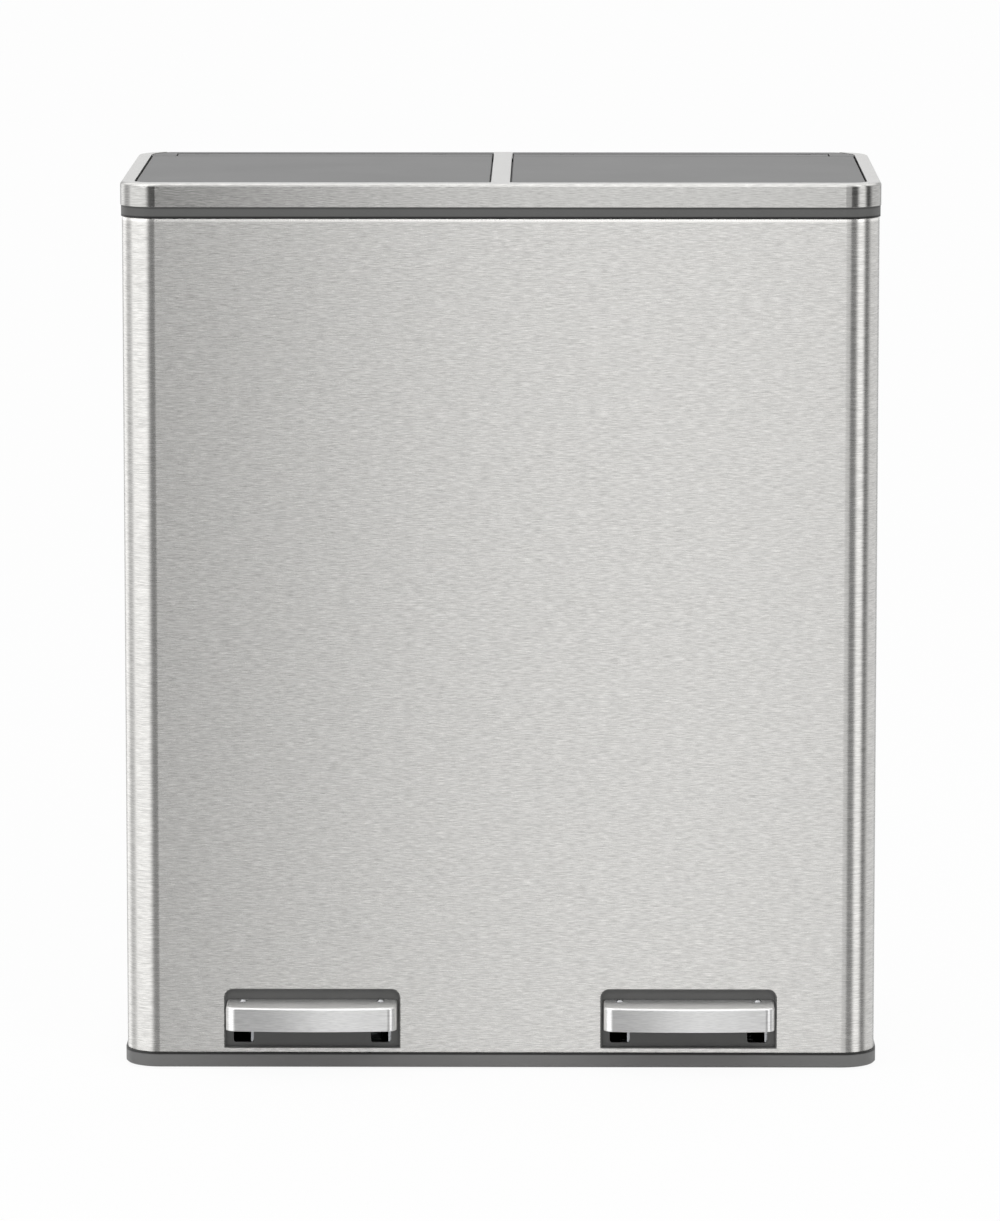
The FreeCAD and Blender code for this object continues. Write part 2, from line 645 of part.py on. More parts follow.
def rod_guides(middle):
    """Two guide blocks across the channel."""
    guides = []
    for z in (84.0, 610.0):
        block = slab(about(middle, CHANNEL_HALF - PLASTIC), about(ROD_Y, 11), (z, z + 10))
        bore = post(middle, ROD_Y, ROD_RADIUS + RUN_GAP, (z - 1, z + 11))
        guides.append(block.cut(bore))
    return Part.makeCompound(guides)


def damper_barrel(middle):
    """Cylinder of the damper that slows the lid, with ears on the channel's walls."""
    tube = post(middle, ROD_Y, BARREL_BORE + 1.7, BARREL_Z)
    ears = []
    for z in (BARREL_Z[0] + 4, BARREL_Z[1] - 12):
        ears.append(slab(about(middle, CHANNEL_HALF - PLASTIC), about(ROD_Y, 5), (z, z + 8)))
    return joined(tube, *ears).cut(post(middle, ROD_Y, BARREL_BORE, grown(BARREL_Z, 1)))


def damper_caps(middle):
    """End caps in the damper's tube, open for the rod."""
    caps = []
    for z in (BARREL_Z[0], BARREL_Z[1] - CAP_THICK):
        cap = post(middle, ROD_Y, BARREL_BORE, (z, z + CAP_THICK))
        caps.append(cap.cut(post(middle, ROD_Y, ROD_RADIUS + RUN_GAP, (z - 1, z + CAP_THICK + 1))))
    return Part.makeCompound(caps)


def pushrod(middle):
    return post(middle, ROD_Y, ROD_RADIUS, (FOOT_BOTTOM + FOOT_THICK, ROD_TOP))


def rod_foot(middle):
    """Flat foot that the lever's nose lifts."""
    return post(middle, ROD_Y, 9, (FOOT_BOTTOM, FOOT_BOTTOM + FOOT_THICK))


def rod_tip(middle):
    """Cap with a tapered top that pushes the heel."""
    taper = Part.makeCone(TIP_RADIUS, TIP_RADIUS / 2, 2, Vector(middle, ROD_Y, TIP_TOP - 2))
    sleeve = post(middle, ROD_Y, TIP_RADIUS, (TIP_TOP - 16, TIP_TOP - 2))
    return joined(taper, sleeve).cut(post(middle, ROD_Y, ROD_RADIUS, (TIP_TOP - 17, ROD_TOP)))


def damper_piston(middle):
    z = (BARREL_Z[0] + 12, BARREL_Z[0] + 22)
    disc = post(middle, ROD_Y, BARREL_BORE - RUN_GAP, z)
    return disc.cut(post(middle, ROD_Y, ROD_RADIUS, z))


# ---- lids ---------------------------------------------------------------------------------------
def lug_places(side):
    """Middles of the two hinge lugs of a lid."""
    return (side * UNIT_X - HINGE_X, side * UNIT_X + HINGE_X)


def lid_panel(side):
    """Flush lid with a rolled back edge that turns on the hinge pins."""
    x, y, radii = lid_plan(side, 0)
    plate = prism(x, y, radii, (LID_BOTTOM, LID_TOP))
    plate = plate.makeChamfer(0.6, edges_where(plate, lambda p: p.z > LID_TOP - 0.01))
    plate = plate.cut(slab(about(0, WIDTH), (HINGE_Y, DEPTH), (LID_BOTTOM - 1, LID_TOP + 1)))
    knuckle = bar(across(side, LID_X[0] + 1, KNUCKLE_END), HINGE_Y, HINGE_Z, KNUCKLE_RADIUS)
    groove = slab(grown(x, 1), GROOVE_Y, (LID_TOP - GROOVE_DEPTH, LID_TOP + 1))
    beyond_knuckle = across(side, KNUCKLE_END, WIDTH / 2)
    corner = slab(beyond_knuckle, (GROOVE_Y[0], DEPTH), (LID_BOTTOM - 1, LID_TOP + 1))
    holes = [groove, corner]
    for lug_x in lug_places(side):
        holes.append(bar(about(lug_x, LUG_WIDTH / 2 + 0.5), HINGE_Y, HINGE_Z, KNUCKLE_RADIUS + 0.8))
        holes.append(bar(about(lug_x, 17), HINGE_Y, HINGE_Z, PIN_RADIUS + PIN_GAP))
    for screw_x, screw_y, screw_z in heel_screw_places(side * UNIT_X):
        holes.append(post(screw_x, screw_y, SCREW_RADIUS, (screw_z, LID_BOTTOM + 1.6)))
    return joined(plate, knuckle).cut(holes)


def lid_liner(side):
    """Shallow moulded pan that stiffens the lid from below."""
    x = grown(across(side, *LID_X), -5.1)
    outer = prism(x, LINER_Y, 20, (LINER_BOTTOM, LID_BOTTOM))
    outer = outer.makeChamfer(3, edges_where(outer, lambda p: p.z < LINER_BOTTOM + 0.01))
    return outer.cut(prism(grown(x, -2), grown(LINER_Y, -2), 18, (LINER_BOTTOM + 2, LID_BOTTOM)))


def heel_point(angle):
    """Point of the heel that the pushrod lifts once the lid has opened by an angle.

    The rod's line is tangent to a circle round the hinge, so that its height and the lid's
    angle grow together when the heel is this circle's involute.
    """
    y = -BASE_RADIUS
    z = BASE_RADIUS * angle - HEEL_DROP
    turned_y = y * math.cos(angle) - z * math.sin(angle)
    turned_z = y * math.sin(angle) + z * math.cos(angle)
    return Vector(0, HINGE_Y + turned_y, HINGE_Z + turned_z)


def heel_cam(middle):
    """Heel under the lid's back edge: an involute web and a screwed flange."""
    steps = 8
    points = [heel_point(LID_TRAVEL * step / steps) for step in range(steps + 1)]
    curve = Part.BSplineCurve()
    curve.interpolate(points)
    rest = [points[-1], Vector(0, HINGE_Y - 7, HINGE_Z - 8), Vector(0, HINGE_Y - 7, LID_BOTTOM),
            Vector(0, HINGE_Y - 31, LID_BOTTOM), Vector(0, HINGE_Y - 25, points[0].z), points[0]]
    wire = Part.Wire([curve.toShape()] + Part.makePolygon(rest).Edges)
    web = Part.Face(wire).extrude(Vector(HEEL_THICK, 0, 0))
    web.translate(Vector(middle - HEEL_THICK / 2, 0, 0))
    flange = slab(about(middle, 16), (HINGE_Y - 31, HINGE_Y - 7), (LID_BOTTOM - 3, LID_BOTTOM))
    holes = [post(x, y, SCREW_RADIUS, grown((z, LID_BOTTOM), 1)) for x, y, z in heel_screw_places(middle)]
    return joined(web, flange).cut(holes)


def heel_screw_places(middle):
    """Two screws through the heel's flange."""
    return [(middle + x, HINGE_Y - 19, LID_BOTTOM - 3) for x in (-10, 10)]


def heel_screws(middle):
    """Screws up through the heel's flange into the lid."""
    return screws_at(heel_screw_places(middle), 4.5, 180)


def hinge_lugs(side):
    """Lugs on the collar's back wall that hold the pins."""
    wall = LID_Y[1] + LID_GAP
    lugs = []
    for x in lug_places(side):
        half = LUG_WIDTH / 2
        plate = slab(about(x, 12), (wall - 2.2, wall), (SHELL_TOP + 1, 680))
        neck = slab(about(x, half), (HINGE_Y, wall), (674, HINGE_Z))
        knuckle = bar(about(x, half), HINGE_Y, HINGE_Z, KNUCKLE_RADIUS - 0.2)
        lugs.append(joined(plate, neck, knuckle).cut(bar(about(x, 6), HINGE_Y, HINGE_Z, PIN_RADIUS)))
    return Part.makeCompound(lugs)


def hinge_pins():
    pins = []
    for side in SIDES.values():
        for x in lug_places(side):
            pins.append(bar(about(x, 15), HINGE_Y, HINGE_Z, PIN_RADIUS))
    return Part.makeCompound(pins)


# ---- buckets ------------------------------------------------------------------------------------
def bucket(side):
    """Lift-out bucket: tapered walls, turned-down rim and a grip hole in each side."""
    def hull(margin, bottom):
        """Tapered form with a bevelled foot, drawn in by a margin, up to the mouth."""
        wires = [bucket_outline(BUCKET_BASE, bottom, margin - BUCKET_BEVEL).OuterWire,
                 bucket_outline(BUCKET_BASE, bottom + BUCKET_BEVEL, margin).OuterWire,
                 bucket_outline(BUCKET_MOUTH, BUCKET_TOP, margin).OuterWire]
        return Part.makeLoft(wires, True, True)

    walls = hull(0, DECK_TOP)
    rim = bucket_outline(BUCKET_RIM, BUCKET_TOP - 2).extrude(Vector(0, 0, 2))
    skirt = bucket_ring(BUCKET_RIM, (-1.6, 0), (BUCKET_TOP - 10, BUCKET_TOP - 1))
    form = joined(walls, rim, skirt).cut(hull(-BUCKET_WALL, DECK_TOP + PLASTIC))
    grips = sideways(about(BUCKET_Y, 45), (608, 630), 10.9, about(0, BUCKET_RIM[0]))
    form = form.cut(grips)
    form.translate(Vector(side * LID_MIDDLE, 0, 0))
    return form


# ---- all sub-parts ------------------------------------------------------------------------------
def sub_parts():
    """Every node's name and shape."""
    parts = {
        "outer_shell": outer_shell(),
        "base_tray": base_tray(),
        "bucket_deck": bucket_deck(),
        "collar_ring": collar_ring(),
        "lid_bezel": lid_bezel(),
        "rear_handle": rear_handle(),
        "rubber_feet": rubber_feet(),
        "lid_bumpers": lid_bumpers(),
        "deck_screws": deck_screws(),
        "bracket_screws": bracket_screws(),
        "channel_screws": channel_screws(),
        "axle_clips": axle_clips(),
        "hinge_pins": hinge_pins(),
    }
    by_middle = [pedal_surround, arm_guides, lever_brackets, lever_axle, rod_channel, rod_guides,
                 damper_barrel, damper_caps, pedal_lever, pedal_pad, pedal_rivets, lever_bushes,
                 pushrod, rod_foot, rod_tip, damper_piston, heel_cam, heel_screws]
    by_side = [hinge_lugs, hinge_cover, lid_panel, lid_liner, bucket]
    for name, side in SIDES.items():
        for make in by_middle:
            parts[make.__name__ + "_" + name] = make(side * UNIT_X)
        for make in by_side:
            parts[make.__name__ + "_" + name] = make(side)
    return parts


os.makedirs("parts", exist_ok=True)
for node, shape in sub_parts().items():
    shape.exportStep(os.path.join("parts", node + ".step"))
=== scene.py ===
"""Looks of the double recycling bin: rolled steel wrapper, procedural finishes, studio and camera."""

import json
import math

import bmesh
import bpy
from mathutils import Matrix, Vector


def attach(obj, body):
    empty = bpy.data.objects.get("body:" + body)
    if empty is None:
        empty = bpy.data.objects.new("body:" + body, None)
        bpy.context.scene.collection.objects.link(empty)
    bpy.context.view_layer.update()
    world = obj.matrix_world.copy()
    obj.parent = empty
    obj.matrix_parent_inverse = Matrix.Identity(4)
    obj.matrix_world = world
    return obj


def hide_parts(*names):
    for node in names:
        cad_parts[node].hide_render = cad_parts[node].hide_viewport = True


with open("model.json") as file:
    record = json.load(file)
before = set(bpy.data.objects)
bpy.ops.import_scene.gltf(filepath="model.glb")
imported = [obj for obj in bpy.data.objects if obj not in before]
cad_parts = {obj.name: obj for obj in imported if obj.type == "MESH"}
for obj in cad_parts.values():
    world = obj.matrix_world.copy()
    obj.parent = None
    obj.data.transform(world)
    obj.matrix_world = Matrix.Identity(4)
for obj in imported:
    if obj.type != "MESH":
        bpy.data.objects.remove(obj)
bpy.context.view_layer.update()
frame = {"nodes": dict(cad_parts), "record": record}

MM = 0.001
SIDES = ("left", "right")
WHITE = (1.0, 1.0, 1.0, 1.0)

# Steel wrapper, in millimetres as in the CAD: half sizes of the body, sheet, heights and holes.
HALF_WIDTH = 292.5
HALF_DEPTH = 150.0
CORNER = 28.0
SHELL_INSET = 1.25
STEEL = 0.8
RIM_TOP = 12.9
SHELL_TOP = 663.4
COLLAR_TOP = 672.1
UNIT_X = 146.25
RECESS_HALF = 68.5
RECESS_Z = (16.4, 63.3)
RECESS_RADII = (0.5, 7.0)
CUP_HALF = 54.3
CUP_Z = (589.7, 628.3)
CUP_RADII = (8.3, 8.3)
CUT_OUTSIDE = 5.0
CUT_INSIDE = 10.0
CORNER_STEPS = 16

# Rolled edges of the sheet: radius of the outer face in millimetres, and turn in degrees.
TOP_ROLL_RADIUS = 2.5
LOW_ROLL_RADIUS = 0.9
ROLL_TURN = 35
ROLL_STEPS = 6
SMOOTH_BELOW = math.radians(35)

# Finishes: lengths in metres, and noise scales per metre along X, along Y and across the brushing.
EDGE_RADIUS = 0.4 * MM
EDGE_SAMPLES = 6
# Reach of the painted shade lines in the gaps between parts.
SHADE_LINE_REACH = 2.0 * MM
# Reach and gain of the painted highlight along the shell's top edge.
PAINTED_HIGHLIGHT_REACH = 3.4 * MM
PAINTED_HIGHLIGHT_GAIN = 1.5
FLAT_FROM = 0.7
GRAIN_FINE = (120, 120, 1700)
GRAIN_BROAD = (34, 34, 650)
GRAIN_BROAD_SHARE = 0.12
GRAIN_DEPTH = 0.05 * MM
GRAIN_STRENGTH = 0.5
MOULD_STRENGTH = 0.7
MOULD_CONTRAST = 0.12
CLOUD_SCALE = 14.0
ROUGH_SPREAD = 0.05

# Camera: distances in metres, measured from the middle of the bin's foot.
CAMERA_PLACE = Vector((0.0437, -5.750, 1.1782))
CAMERA_TILT = math.radians(8.306)
CAMERA_TURN = math.radians(0.450)
LENS = 216.5
FILM = 36.0

# Lamps, as (name, place, size in metres, power in watts), and the point they are aimed at.
LAMPS = (
    ("key_lamp", (1.5, -2.6, 2.3), 1.8, 22.0),
    ("fill_lamp", (-2.2, -1.4, 1.6), 1.6, 8.0),
    ("low_lamp", (0.3, -2.6, 0.3), 1.0, 8.0),
)
LAMP_AIM = Vector((0.0, 0.0, 0.4))

# Studio: levels of light, and the steepness of a ray (Z of its direction) where each starts and is full.
WALL_LEVEL = 0.12
ROOM_LEVEL = 0.8
CEILING_LEVEL = 0.9
CEILING_Z = (0.25, 0.8)
GROUND_LEVEL = 0.95
GROUND_SHARE = 0.65
GROUND_Z = (-0.20, -0.34)
FLOOR_GLOW = 0.94
FLOOR_PAINT = (0.9, 0.9, 0.9, 1.0)
FLOOR_REACH = 40.0

# Panels of light that the metal mirrors, as (direction, half width, soft edge, level).
# A direction is in degrees round the bin: 0 is in front of it, 90 to its right, 180 behind it.
PANELS = (
    (0.3, 2.6, 1.1, 0.71),
    (8.6, 10.8, 1.3, 0.61),
    (55, 13, 7, 1.25),
    (118, 28, 10, 0.75),
    (180, 25, 20, 0.86),
    (-134, 14, 8, 1.25),
    (-108, 12, 6, 0.60),
    (-61, 33, 9, 1.30),
)


# ---------------------------------------------------------------- materials

class Nodes:
    """Adds nodes to one node tree: inputs are given as numbers, colours or sockets to link."""

    def __init__(self, tree):
        self.tree = tree
        tree.nodes.clear()

    def put(self, socket, value):
        if isinstance(value, bpy.types.NodeSocket):
            self.tree.links.new(value, socket)
        else:
            socket.default_value = value

    def add(self, kind, inputs=None, **settings):
        made = self.tree.nodes.new("ShaderNode" + kind)
        for name, value in settings.items():
            setattr(made, name, value)
        for name, value in (inputs or {}).items():
            self.put(made.inputs[name], value)
        return made

    def math(self, operation, *values):
        made = self.add("Math", dict(enumerate(values)), operation=operation)
        return made.outputs[0]

    def scaled(self, vector, factors):
        made = self.add("VectorMath", {0: vector, 1: factors}, operation="MULTIPLY")
        return made.outputs[0]

    def noise(self, vector, scale, detail=2.0, roughness=0.5):
        inputs = {"Vector": vector, "Scale": scale, "Detail": detail, "Roughness": roughness}
        return self.add("TexNoise", inputs).outputs[0]

    def mixed(self, share, first, second):
        """The first value, or the second where the share is 1."""
        made = self.add("Mix", {0: share, 2: first, 3: second}, data_type="FLOAT")
        return made.outputs[0]

    def between(self, value, low, high):
        """A value from 0 to 1 turned into one from low to high."""
        made = self.add("MapRange", {"Value": value, "To Min": low, "To Max": high})
        return made.outputs[0]

    def rising(self, value, start, full, level=1.0):
        """0 where a value is at the start, rising smoothly to a level where it is at full."""
        inputs = {"Value": value, "From Min": start, "From Max": full, "To Max": level}
        return self.add("MapRange", inputs, interpolation_type="SMOOTHSTEP").outputs[0]

    def near(self, value, place, reach):
        """1 where a value is at a place, falling to 0 at a reach from it."""
        gap = self.math("ABSOLUTE", self.math("SUBTRACT", value, place))
        return self.rising(gap, reach, reach / 2)

    def tinted(self, colour, gain):
        """A colour made lighter or darker by a gain near 1."""
        base = self.add("CombineXYZ", {"X": colour[0], "Y": colour[1], "Z": colour[2]})
        made = self.add("VectorMath", {0: base.outputs[0], "Scale": gain}, operation="SCALE")
        return made.outputs[0]

    def rounded(self):
        """The surface's normal, with every sharp edge rounded off by a small radius."""
        return self.add("Bevel", {"Radius": EDGE_RADIUS}, samples=EDGE_SAMPLES).outputs[0]

    def bump(self, height, depth, strength, normal):
        """A normal that follows fine relief on top of another normal."""
        inputs = {"Height": height, "Distance": depth, "Strength": strength, "Normal": normal}
        return self.add("Bump", inputs).outputs[0]

    def seen(self):
        """1 for what the camera sees, straight on or through something clear."""
        rays = self.add("LightPath").outputs
        return self.math("MAXIMUM", rays["Is Camera Ray"], rays["Is Transmission Ray"])

    def mirrored(self):
        """1 for what a glossy surface mirrors."""
        return self.add("LightPath").outputs["Is Glossy Ray"]

    def blended(self, share, first, second):
        """One shader, or another where the share is 1."""
        inputs = {0: share, 1: first.outputs[0], 2: second.outputs[0]}
        return self.add("MixShader", inputs)


def new_material(name):
    made = bpy.data.materials.new(name)
    made.use_nodes = True
    return made, Nodes(made.node_tree)


def finish_material(nodes, inputs):
    shader = nodes.add("BsdfPrincipled", inputs)
    nodes.add("OutputMaterial", {"Surface": shader.outputs[0]})


def brushing(nodes, place):
    """Coordinates along and across the brushing, and the direction across it.

    The brushing runs level round the walls, and along X on faces that look up or down.
    """
    normal = nodes.add("SeparateXYZ", {"Vector": nodes.add("NewGeometry").outputs["Normal"]}).outputs
    facing_up = nodes.math("ABSOLUTE", normal["Z"])
    flat = nodes.math("GREATER_THAN", facing_up, FLAT_FROM)
    along = nodes.mixed(flat, place["Y"], place["Z"])
    across = nodes.mixed(flat, place["Z"], place["Y"])
    spot = nodes.add("CombineXYZ", {"X": place["X"], "Y": along, "Z": across})
    tangent = nodes.add("CombineXYZ", {"Y": facing_up, "Z": nodes.math("SUBTRACT", 1.0, facing_up)})
    return spot.outputs[0], tangent.outputs[0]


def brushed_steel(name, colour, rough, spread, contrast, painted_highlight_height=None):
    """Steel with a brushed grain, and a painted highlight: a lighter colour along the edge at the height in
    metres given, standing for light caught by the rolled edge.
    """
    made, nodes = new_material(name)
    place = nodes.add("SeparateXYZ", {"Vector": nodes.add("TexCoord").outputs["Object"]}).outputs
    spot, tangent = brushing(nodes, place)
    fine = nodes.noise(nodes.scaled(spot, GRAIN_FINE), 1.0, 2.0, 0.6)
    broad = nodes.noise(nodes.scaled(spot, GRAIN_BROAD), 1.0, 2.0, 0.55)
    grain = nodes.mixed(GRAIN_BROAD_SHARE, fine, broad)
    gain = nodes.between(grain, 1.0 - contrast, 1.0 + contrast)
    # Painted highlight: the colour is lighter along the given edge, for light caught by the rolled edge.
    if painted_highlight_height:
        painted_highlight = nodes.near(place["Z"], painted_highlight_height, PAINTED_HIGHLIGHT_REACH)
        gain = nodes.mixed(painted_highlight, gain, PAINTED_HIGHLIGHT_GAIN)
    finish_material(nodes, {
        "Base Color": nodes.tinted(colour, gain),
        "Metallic": 1.0,
        "Roughness": nodes.between(broad, rough - ROUGH_SPREAD, rough + ROUGH_SPREAD),
        "Anisotropic": spread,
        "Tangent": tangent,
        "Normal": nodes.bump(grain, GRAIN_DEPTH, GRAIN_STRENGTH, nodes.rounded()),
    })
    return made


def zinc_steel():
    """Plated steel: a faint crystal mottle and fine rolling marks."""
    made, nodes = new_material("zinc_steel")
    place = nodes.add("TexCoord").outputs["Object"]
    crystals = nodes.add("TexVoronoi", {"Vector": place, "Scale": 260.0}).outputs["Color"]
    mottle = nodes.noise(place, 90.0, 3.0)
    shade = nodes.math("ADD", nodes.math("MULTIPLY", crystals, 0.4), nodes.math("MULTIPLY", mottle, 0.6))
    finish_material(nodes, {
        "Base Color": nodes.tinted((0.56, 0.57, 0.59), nodes.between(shade, 0.88, 1.12)),
        "Metallic": 1.0,
        "Roughness": nodes.between(shade, 0.22, 0.36),
        "Normal": nodes.bump(nodes.noise(place, 900.0), 0.02 * MM, 0.5, nodes.rounded()),
    })
    return made


def moulded(name, colour, rough, pitch, depth, specular=0.5, shade_lines=()):
    """Moulded plastic: its texture's pitch and depth are in millimetres.

    Each of the lines given is painted shade, a dark line in a gap between parts, as (height in metres,
    darkness).
    """
    made, nodes = new_material(name)
    place = nodes.add("TexCoord").outputs["Object"]
    texture = nodes.noise(place, 1.0 / (pitch * MM), 2.0, 0.6)
    cloud = nodes.noise(place, CLOUD_SCALE, 3.0)
    gain = nodes.between(nodes.mixed(0.5, cloud, texture), 1.0 - MOULD_CONTRAST, 1.0 + MOULD_CONTRAST)
    height = nodes.add("SeparateXYZ", {"Vector": place}).outputs["Z"]
    # Painted shade: the colour is darker along each given line, where a gap between parts lies in shade.
    for shade_height, darkness in shade_lines:
        shade = nodes.between(nodes.near(height, shade_height, SHADE_LINE_REACH), 1.0, 1.0 - darkness)
        gain = nodes.math("MULTIPLY", gain, shade)
    finish_material(nodes, {
        "Base Color": nodes.tinted(colour, gain),
        "Roughness": nodes.between(cloud, rough - ROUGH_SPREAD, rough + ROUGH_SPREAD),
        "Specular IOR Level": specular,
        "Normal": nodes.bump(texture, depth * MM, MOULD_STRENGTH, nodes.rounded()),
    })
    return made


def make_materials():
    """One material for each slot of the record."""
    # Painted shade: dark lines in the gaps below and above the collar.
    collar_shade_lines = ((SHELL_TOP * MM, 0.95), (COLLAR_TOP * MM, 0.5))
    return {
        # The steel's painted highlight runs along the shell's top edge.
        "steel": brushed_steel("steel", (0.63, 0.622, 0.605), 0.27, 0.9, 0.6, SHELL_TOP * MM),
        "zinc_steel": zinc_steel(),
        "dark_plastic": moulded("dark_plastic", (0.085, 0.085, 0.083), 0.48, 0.6, 0.03, shade_lines=collar_shade_lines),
        "lid_plastic": moulded("lid_plastic", (0.126, 0.126, 0.126), 0.48, 0.5, 0.03, specular=0.24),
        "liner_plastic": moulded("liner_plastic", (0.11, 0.11, 0.11), 0.5, 0.8, 0.03),
        "inner_plastic": moulded("inner_plastic", (0.055, 0.055, 0.057), 0.5, 1.0, 0.03),
        "bucket_plastic": moulded("bucket_plastic", (0.045, 0.046, 0.05), 0.36, 1.2, 0.03),
        "acetal": moulded("acetal", (0.78, 0.78, 0.74), 0.32, 2.0, 0.01),
        "rubber": moulded("rubber", (0.035, 0.035, 0.035), 0.75, 0.7, 0.04),
    }


def own_materials():
    """Finishes of single nodes that differ a little from the rest of their slot. The base tray's plastic is a
    lighter copy: painted light, for light bounced up from the floor.
    """
    pedal = brushed_steel("pedal_steel", (0.83, 0.83, 0.825), 0.34, 0.6, 0.3)
    band = brushed_steel("band_steel", (0.475, 0.471, 0.458), 0.18, 0.8, 0.55)
    # Painted shade: a dark line in the gap where the shell meets the base tray.
    base_shade_lines = ((RIM_TOP * MM, 0.95),)
    # Painted light: the base tray is a lighter copy of the dark plastic, for light bounced up from the floor.
    base = moulded("base_plastic", (0.14, 0.14, 0.138), 0.45, 0.6, 0.03, shade_lines=base_shade_lines)
    own = {f"pedal_pad_{side}": pedal for side in SIDES}
    own.update({"lid_bezel": band, "base_tray": base})
    return own


def dress_cad(materials, own):
    """Gives every CAD node its own material, or else that of its slot."""
    for row in frame["record"]["subparts"]:
        node = frame["nodes"][row["node"]]
        node.data.materials.clear()
        node.data.materials.append(own.get(row["node"], materials[row["material_slot"]]))


# ---------------------------------------------------------------- sheet metal

def corner_arc(middle, radius, start):
    """Points of a quarter circle, anticlockwise from a start angle in degrees."""
    turns = [math.radians(start + 90 * step / CORNER_STEPS) for step in range(CORNER_STEPS + 1)]
    return [middle + radius * Vector((math.cos(turn), math.sin(turn))) for turn in turns]


def rounded_rectangle(x, y, radii):
    """Points round a rectangle, anticlockwise: radii are those of the corners at its low and high Y."""
    corners = ((x[1], y[0], -1, 1), (x[1], y[1], -1, -1), (x[0], y[1], 1, -1), (x[0], y[0], 1, 1))
    points = []
    for turn, (corner_x, corner_y, inward_x, inward_y) in enumerate(corners):
        radius = radii[0] if inward_y > 0 else radii[1]
        middle = Vector((corner_x + inward_x * radius, corner_y + inward_y * radius))
        points += corner_arc(middle, radius, 90 * turn - 90)
    return points


def new_piece(name, shape):
    """An object in metres from a bmesh in millimetres."""
    bmesh.ops.scale(shape, vec=(MM, MM, MM), verts=shape.verts)
    mesh = bpy.data.meshes.new(name)
    shape.to_mesh(mesh)
    shape.free()
    piece = bpy.data.objects.new(name, mesh)
    bpy.context.scene.collection.objects.link(piece)
    return piece


def bridge(shape, rings):
    """Faces between each ring of points and the next."""
    for ring, following in zip(rings, rings[1:]):
        for n, vertex in enumerate(ring):
            m = (n + 1) % len(ring)
            shape.faces.new((vertex, ring[m], following[m], following[n]))


def body_sweep(name, section):
    """A section, as a closed loop of (inset, height) points, carried round the body's plan."""
    shape = bmesh.new()
    rings = []
    for inset, height in section:
        x, y = HALF_WIDTH - inset, HALF_DEPTH - inset
        plan = rounded_rectangle((-x, x), (-y, y), (CORNER - inset,) * 2)
        rings.append([shape.verts.new((*point, height)) for point in plan])
    bridge(shape, rings + rings[:1])
    return new_piece(name, shape)


def cutter(name, x, z, radii, wall):
    """An upright round-cornered block through the front (-1) or back (1) wall, to cut a hole with."""
    shape = bmesh.new()
    outline = rounded_rectangle(x, z, radii)
    y = sorted((wall * (HALF_DEPTH + CUT_OUTSIDE), wall * (HALF_DEPTH - CUT_INSIDE)))
    rings = [[shape.verts.new((point.x, place, point.y)) for point in outline] for place in y]
    bridge(shape, rings)
    shape.faces.new(rings[0][::-1])
    shape.faces.new(rings[1])
    bmesh.ops.recalc_face_normals(shape, faces=shape.faces)
    return new_piece(name, shape)


def cut_holes(piece, cutters):
    """Cuts the holes and leaves the result as the piece's own mesh."""
    for tool in cutters:
        cut = piece.modifiers.new(tool.name, "BOOLEAN")
        cut.operation = "DIFFERENCE"
        cut.object = tool
    finished = piece.evaluated_get(bpy.context.evaluated_depsgraph_get())
    piece.data = bpy.data.meshes.new_from_object(finished)
    piece.modifiers.clear()
    for tool in cutters:
        bpy.data.objects.remove(tool)


def finish_piece(piece, material, body, slot, *nodes):
    """Material, shading and body of a piece that stands for CAD nodes; the slot is not used."""
    piece.data.materials.clear()
    piece.data.materials.append(material)
    for face in piece.data.polygons:
        face.use_smooth = True
    piece.data.set_sharp_from_angle(angle=SMOOTH_BELOW)
    weighted = piece.modifiers.new("flat_faces_stay_flat", "WEIGHTED_NORMAL")
    weighted.keep_sharp = True
    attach(piece, body)
    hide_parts(*nodes)


def rolled_edge(radius, height, upward):
    """Outer and inner points of a sheet's edge that is rolled inwards, from the wall to the edge."""
    lift = radius * math.sin(math.radians(ROLL_TURN))
    angles = [math.radians(ROLL_TURN * step / ROLL_STEPS) for step in range(ROLL_STEPS + 1)]
    rows = []
    for reach in (radius, radius - STEEL):
        insets = [SHELL_INSET + radius - reach * math.cos(angle) for angle in angles]
        heights = [height + upward * (reach * math.sin(angle) - lift) for angle in angles]
        rows.append(list(zip(insets, heights)))
    return rows


def make_shell(material):
    """The steel wrapper: top and bottom edges rolled in, with holes for the pedals and the finger cup."""
    top_outer, top_inner = rolled_edge(TOP_ROLL_RADIUS, SHELL_TOP, 1)
    low_outer, low_inner = rolled_edge(LOW_ROLL_RADIUS, RIM_TOP, -1)
    section = low_outer[::-1] + top_outer + top_inner[::-1] + low_inner
    shell = body_sweep("shell_wrapper", section)
    holes = []
    for side, direction in zip(SIDES, (-1, 1)):
        middle = direction * UNIT_X
        x = (middle - RECESS_HALF, middle + RECESS_HALF)
        holes.append(cutter(f"pedal_hole_{side}", x, RECESS_Z, RECESS_RADII, -1))
    holes.append(cutter("cup_hole", (-CUP_HALF, CUP_HALF), CUP_Z, CUP_RADII, 1))
    cut_holes(shell, holes)
    finish_piece(shell, material, "bin", "steel", "outer_shell")


# ---------------------------------------------------------------- studio

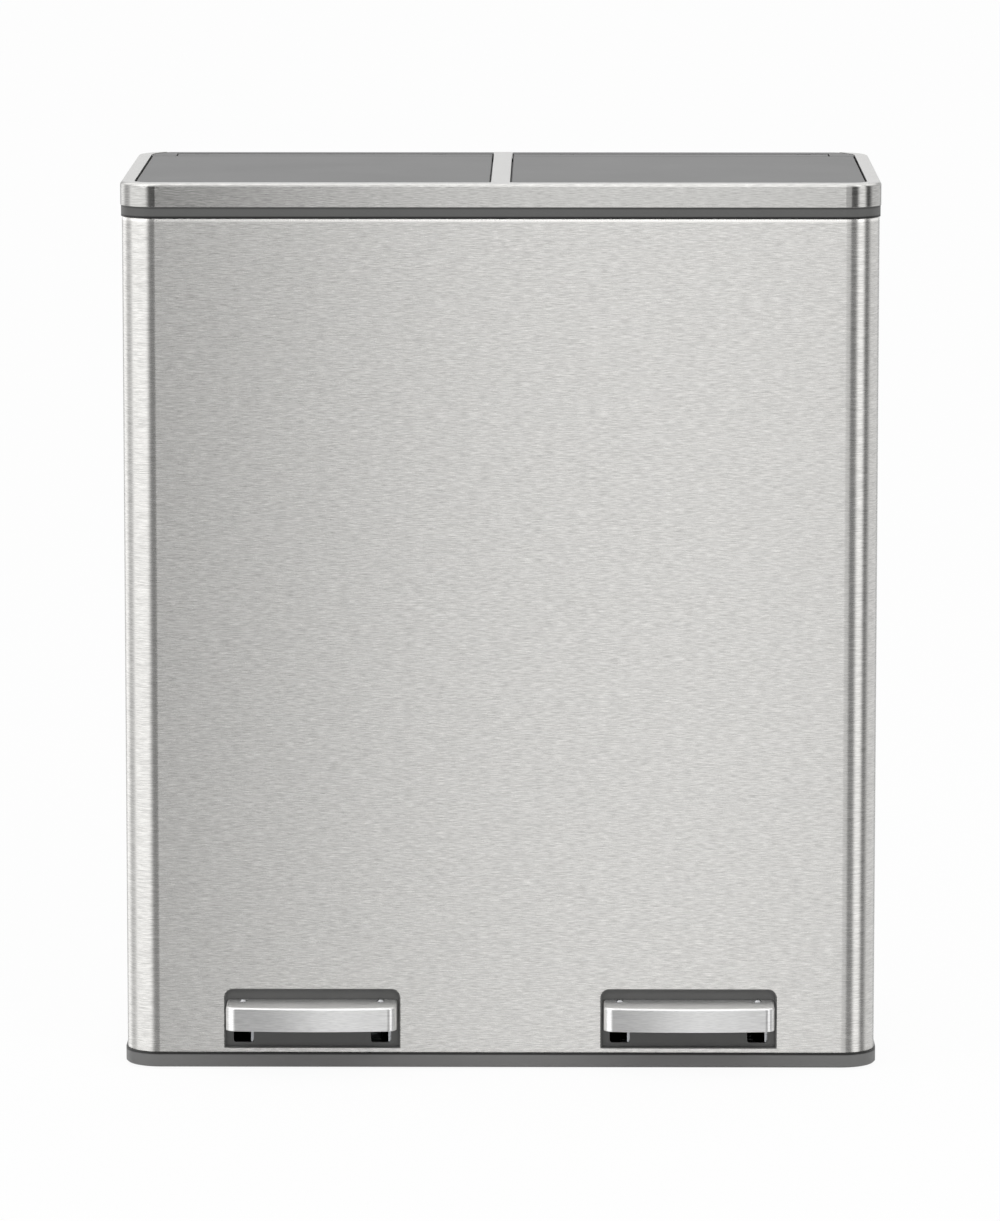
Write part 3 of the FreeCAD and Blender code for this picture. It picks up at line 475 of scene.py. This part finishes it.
def mirrored_level(nodes):
    """How bright the room looks in the metal: panels round the bin, a ceiling and the ground."""
    way = nodes.add("SeparateXYZ", {"Vector": nodes.add("TexCoord").outputs["Generated"]}).outputs
    turn = nodes.math("ARCTAN2", way["X"], nodes.math("MULTIPLY", way["Y"], -1.0))
    degrees = nodes.math("DEGREES", turn)
    level = WALL_LEVEL
    for centre, half, soft, gain in PANELS:
        offset = nodes.math("WRAP", nodes.math("SUBTRACT", degrees, centre), 180.0, -180.0)
        panel = nodes.rising(nodes.math("ABSOLUTE", offset), half + soft, max(half - soft, 0.0), gain)
        level = nodes.math("ADD", level, panel)
    level = nodes.math("ADD", level, nodes.rising(way["Z"], *CEILING_Z, CEILING_LEVEL))
    return nodes.mixed(nodes.rising(way["Z"], *GROUND_Z, GROUND_SHARE), level, GROUND_LEVEL)


def make_world():
    """A white room: plain light on everything, and panels of light that only the metal mirrors."""
    world = bpy.data.worlds.new("studio")
    world.use_nodes = True
    bpy.context.scene.world = world
    nodes = Nodes(world.node_tree)
    in_metal = nodes.add("Background", {"Color": WHITE, "Strength": mirrored_level(nodes)})
    plain = nodes.add("Background", {"Color": WHITE, "Strength": ROOM_LEVEL})
    white = nodes.add("Background", {"Color": WHITE, "Strength": 1.0})
    lit = nodes.blended(nodes.mirrored(), plain, in_metal)
    shown = nodes.blended(nodes.seen(), lit, white)
    nodes.add("OutputWorld", {"Surface": shown.outputs[0]})


def floor_material():
    """Pale paint that keeps the shadow, seen as nearly white; the metal doesn't mirror it."""
    made, nodes = new_material("floor")
    paint = nodes.add("BsdfDiffuse", {"Color": FLOOR_PAINT})
    glow = nodes.add("Emission", {"Color": WHITE, "Strength": 1.0})
    clear = nodes.add("BsdfTransparent")
    pale = nodes.blended(nodes.math("MULTIPLY", nodes.seen(), FLOOR_GLOW), paint, glow)
    shown = nodes.blended(nodes.mirrored(), pale, clear)
    nodes.add("OutputMaterial", {"Surface": shown.outputs[0]})
    return made


def make_floor():
    mesh = bpy.data.meshes.new("floor")
    signs = ((-1, -1), (1, -1), (1, 1), (-1, 1))
    corners = [(x * FLOOR_REACH, y * FLOOR_REACH, 0) for x, y in signs]
    mesh.from_pydata(corners, [], [(0, 1, 2, 3)])
    mesh.materials.append(floor_material())
    floor = bpy.data.objects.new("floor", mesh)
    bpy.context.scene.collection.objects.link(floor)


def add_lamp(name, place, size, power):
    """A soft square lamp aimed at the bin, which the metal doesn't mirror."""
    lamp = bpy.data.lights.new(name, "AREA")
    lamp.shape = "SQUARE"
    lamp.size = size
    lamp.energy = power
    made = bpy.data.objects.new(name, lamp)
    bpy.context.scene.collection.objects.link(made)
    made.location = place
    made.rotation_euler = (LAMP_AIM - made.location).to_track_quat("-Z", "Y").to_euler()
    made.visible_glossy = False


def make_camera():
    camera = bpy.data.cameras.new("camera")
    camera.lens = LENS
    camera.sensor_width = FILM
    made = bpy.data.objects.new("camera", camera)
    bpy.context.scene.collection.objects.link(made)
    made.location = CAMERA_PLACE
    made.rotation_euler = (math.pi / 2 - CAMERA_TILT, 0.0, CAMERA_TURN)
    bpy.context.scene.camera = made


def set_scene():
    make_world()
    make_floor()
    for lamp in LAMPS:
        add_lamp(*lamp)
    make_camera()
    bpy.context.scene.view_settings.view_transform = "Standard"


def main():
    materials = make_materials()
    dress_cad(materials, own_materials())
    make_shell(materials["steel"])
    set_scene()


main()
